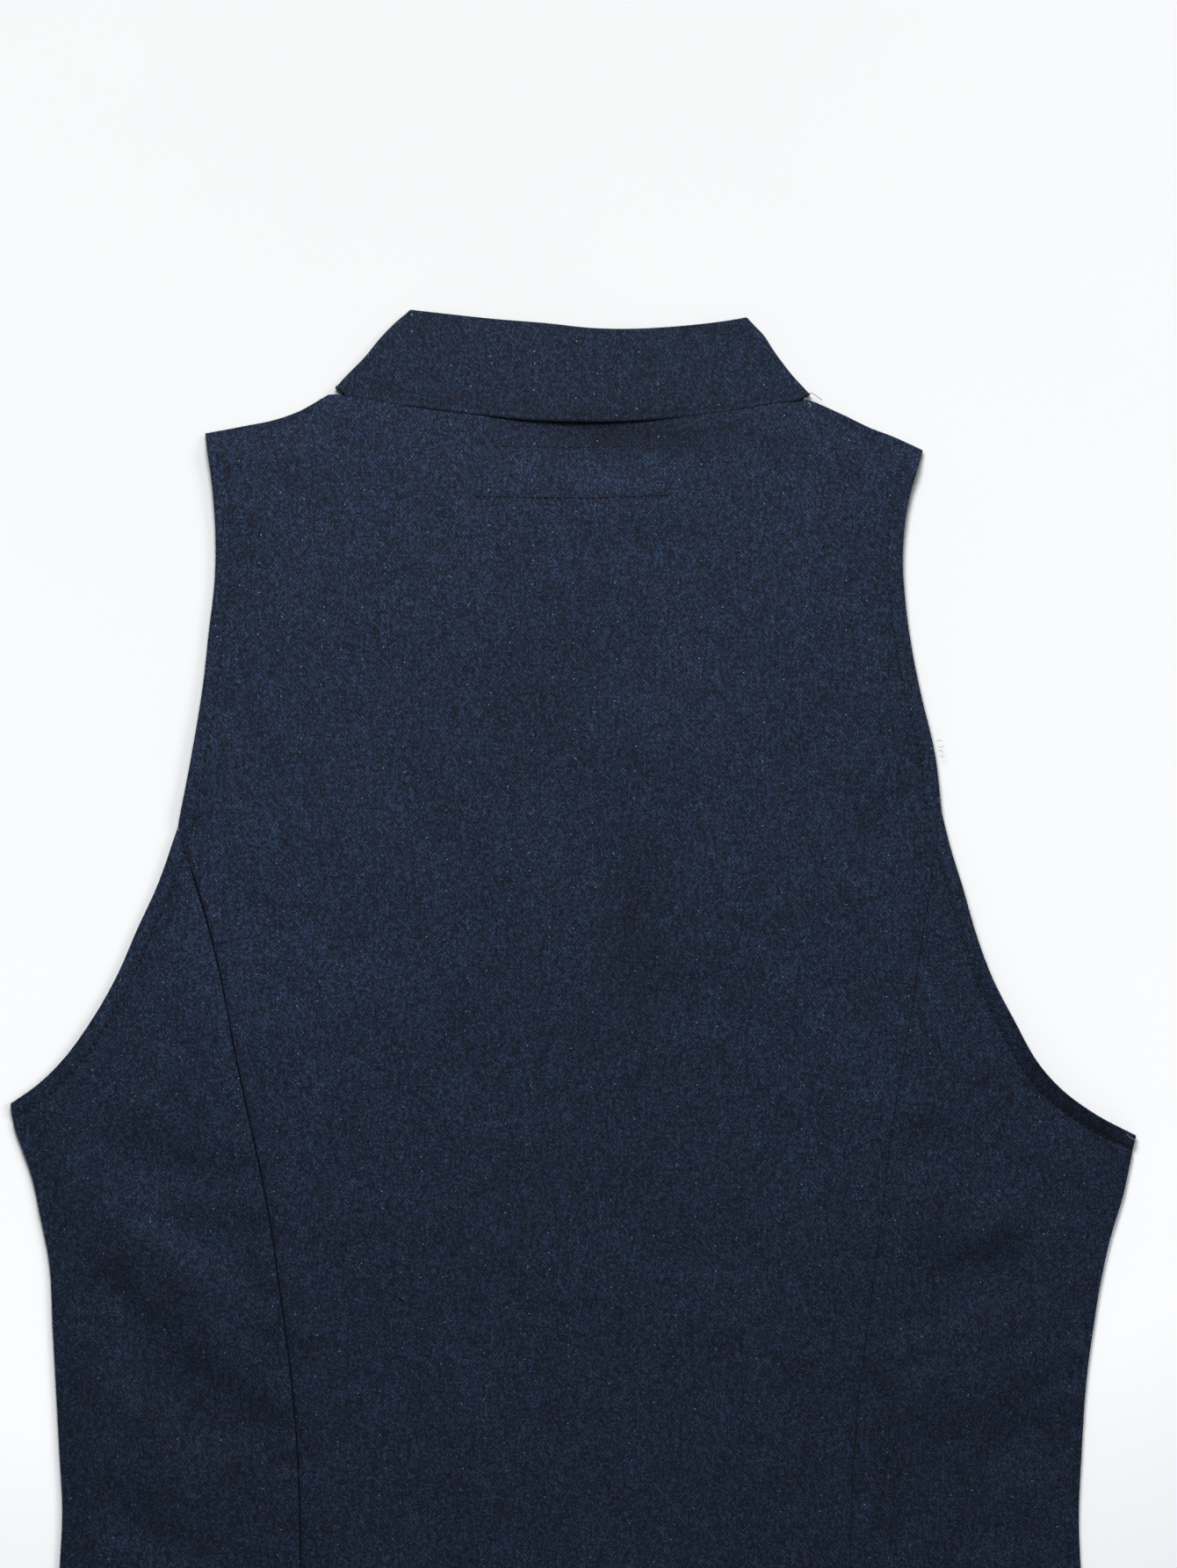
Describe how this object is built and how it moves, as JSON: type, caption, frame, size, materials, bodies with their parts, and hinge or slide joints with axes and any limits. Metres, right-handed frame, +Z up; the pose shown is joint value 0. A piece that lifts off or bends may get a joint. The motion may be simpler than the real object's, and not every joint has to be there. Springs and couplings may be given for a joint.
{
  "type": "denim waistcoat laid flat",
  "caption": "Sleeveless denim waistcoat with a stand collar, princess-seamed back and buttoned front, laid flat face down.",
  "frame": {"origin": "on the surface it lies on, below the middle of the laid garment's bounding box", "axes": "+Y towards the collar, +X towards the wearer's right side, +Z up, away from the surface; the back faces up"},
  "size_m": [0.4298, 0.6024, 0.0071],
  "materials": {
    "denim": "dark indigo twill, matte",
    "button": "dark navy, semi-matte"
  },
  "bodies": {
    "root": {"back_centre": "denim", "back_side_left": "denim", "back_side_right": "denim", "front_left": "denim", "front_right": "denim", "collar": "denim", "button_1": "button", "button_2": "button", "button_3": "button", "button_4": "button", "button_5": "button", "button_6": "button"}
  },
  "joints": []
}
